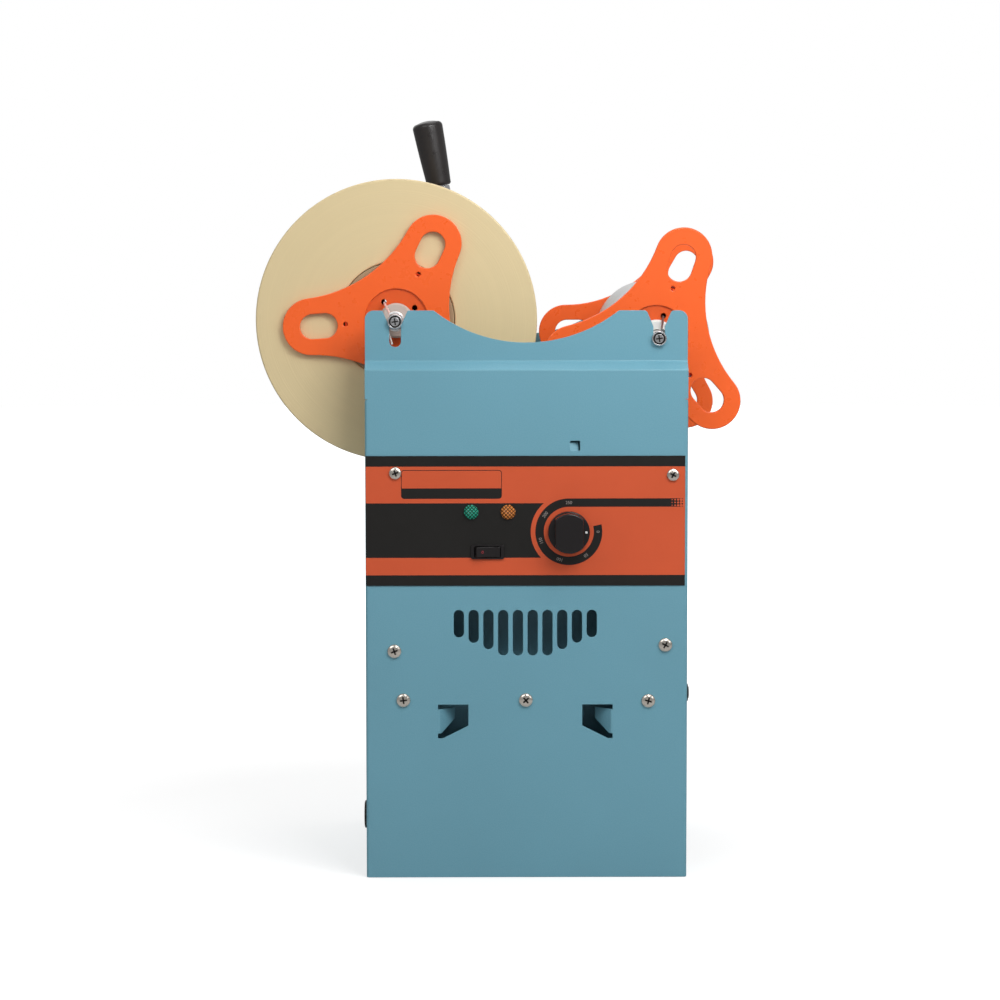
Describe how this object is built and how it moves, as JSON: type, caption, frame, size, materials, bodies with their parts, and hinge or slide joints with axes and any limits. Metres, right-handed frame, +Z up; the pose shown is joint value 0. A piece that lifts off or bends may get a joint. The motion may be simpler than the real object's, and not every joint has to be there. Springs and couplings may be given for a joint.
{
  "type": "cup sealing machine",
  "caption": "Hand-lever cup sealer: a blue sheet housing with a film roll and take-up reel on top, a control label, a heated press head and a sliding cup tray.",
  "frame": {"origin": "middle of the housing's bottom face, on the table", "axes": "+X to the front, where cups go in; -Y towards the control cover, +Y towards the lever; +Z up"},
  "size_m": [0.3329, 0.254, 0.5211],
  "materials": {
    "blue_paint": "smooth semi-gloss powder coat",
    "label_orange": "printed film with a low sheen",
    "reel_orange": "moulded, glossy",
    "film": "wound film, satin with fine rings",
    "cardboard": "plain wound board",
    "black_plastic": "moulded, low sheen",
    "black_gloss": "moulded, glossy",
    "white_plastic": "moulded",
    "steel": "plain machined or sheet steel",
    "chrome": "bright plated",
    "aluminium": "turned, satin",
    "bronze": "sintered bush, oiled",
    "rubber": "moulded heat-proof rubber",
    "board": "pressed insulating board",
    "green_lens": "clear coloured lens",
    "amber_lens": "clear coloured lens"
  },
  "bodies": {
    "frame": {"base_plate": "blue_paint", "control_cover": "blue_paint", "control_inner_wall": "blue_paint", "drive_cover": "blue_paint", "drive_inner_wall": "blue_paint", "rear_panel": "blue_paint", "control_label": "label_orange", "fuse_holder": "black_plastic", "cord_gland": "black_plastic", "temperature_controller": "black_plastic", "switch_body": "black_gloss", "heat_lamp": "green_lens", "temperature_lamp": "amber_lens", "terminal_block": "white_plastic", "guide_post_near": "chrome", "guide_post_far": "chrome", "post_bracket_near": "steel", "post_bracket_far": "steel", "return_spring_near": "steel", "return_spring_far": "steel", "shaft_bearing_near": "bronze", "shaft_bearing_far": "bronze", "shaft_bearing_outer": "bronze", "tray_rail_near": "steel", "tray_rail_far": "steel", "supply_saddle_near": "steel", "supply_saddle_far": "steel"},
    "lever": {"drive_shaft": "steel", "lever_hub": "steel", "lever_rod": "chrome", "lever_nut": "chrome", "lever_grip": "black_plastic"},
    "head": {"head_carrier": "steel", "insulation_plate": "board", "heating_block": "aluminium", "cutting_blade": "steel"},
    "tray": {"cup_tray": "steel", "mould_ring": "aluminium", "mould_gasket": "rubber", "tray_pull": "black_plastic"},
    "supply_reel": {"supply_axle": "steel", "supply_flange_near": "reel_orange", "supply_flange_far": "reel_orange", "supply_collar_near": "white_plastic", "supply_collar_far": "white_plastic", "supply_core": "cardboard", "film_roll": "film", "supply_drive_wire": "steel"},
    "takeup_reel": {"takeup_axle": "steel", "takeup_flange_near": "reel_orange", "takeup_flange_far": "reel_orange", "takeup_collar_near": "white_plastic", "takeup_collar_far": "white_plastic", "takeup_core": "white_plastic", "takeup_drive_wire": "steel"},
    "rear_roller": {"guide_roller_rear": "steel"},
    "front_roller": {"guide_roller_front": "steel"},
    "knob": {"temperature_knob": "black_gloss", "knob_shaft": "steel"},
    "rocker": {"switch_rocker": "black_gloss"}
  },
  "joints": [
    {"name": "lever_pull", "type": "hinge", "parent": "frame", "child": "lever", "pos_m": [-0.021, 0, 0.27], "axis": [0, 1, 0], "range_deg": [0, 56], "stiffness_Nm_per_rad": 0.6, "springref_deg": -38.39},
    {"name": "head_press", "type": "slide", "parent": "frame", "child": "head", "axis": [0, 0, -1], "range_m": [0, 0.0357], "stiffness_N_per_m": 4, "springref_m": -2.25, "deforming": ["return_spring_near", "return_spring_far"]},
    {"name": "tray_slide", "type": "slide", "parent": "frame", "child": "tray", "axis": [1, 0, 0], "range_m": [0, 0.132]},
    {"name": "supply_spin", "type": "hinge", "parent": "frame", "child": "supply_reel", "pos_m": [-0.08861, 0, 0.3782], "axis": [0, 1, 0], "continuous": true},
    {"name": "takeup_spin", "type": "hinge", "parent": "frame", "child": "takeup_reel", "pos_m": [0.08961, 0, 0.3667], "axis": [0, 1, 0], "continuous": true},
    {"name": "rear_roller_spin", "type": "hinge", "parent": "frame", "child": "rear_roller", "pos_m": [-0.062, 0, 0.2145], "axis": [0, 1, 0], "continuous": true},
    {"name": "front_roller_spin", "type": "hinge", "parent": "frame", "child": "front_roller", "pos_m": [0.092, 0, 0.2145], "axis": [0, 1, 0], "continuous": true},
    {"name": "knob_turn", "type": "hinge", "parent": "frame", "child": "knob", "pos_m": [0.0285, -0.117, 0.2366], "axis": [0, 1, 0], "range_deg": [0, 270]},
    {"name": "rocker_tilt", "type": "hinge", "parent": "frame", "child": "rocker", "pos_m": [-0.0264, -0.1093, 0.2231], "axis": [0, 0, -1], "range_deg": [0, 18]}
  ],
  "couplings": [
    {"joint": "head_press", "follows": "lever_pull", "m_per_rad": 0.036505}
  ]
}
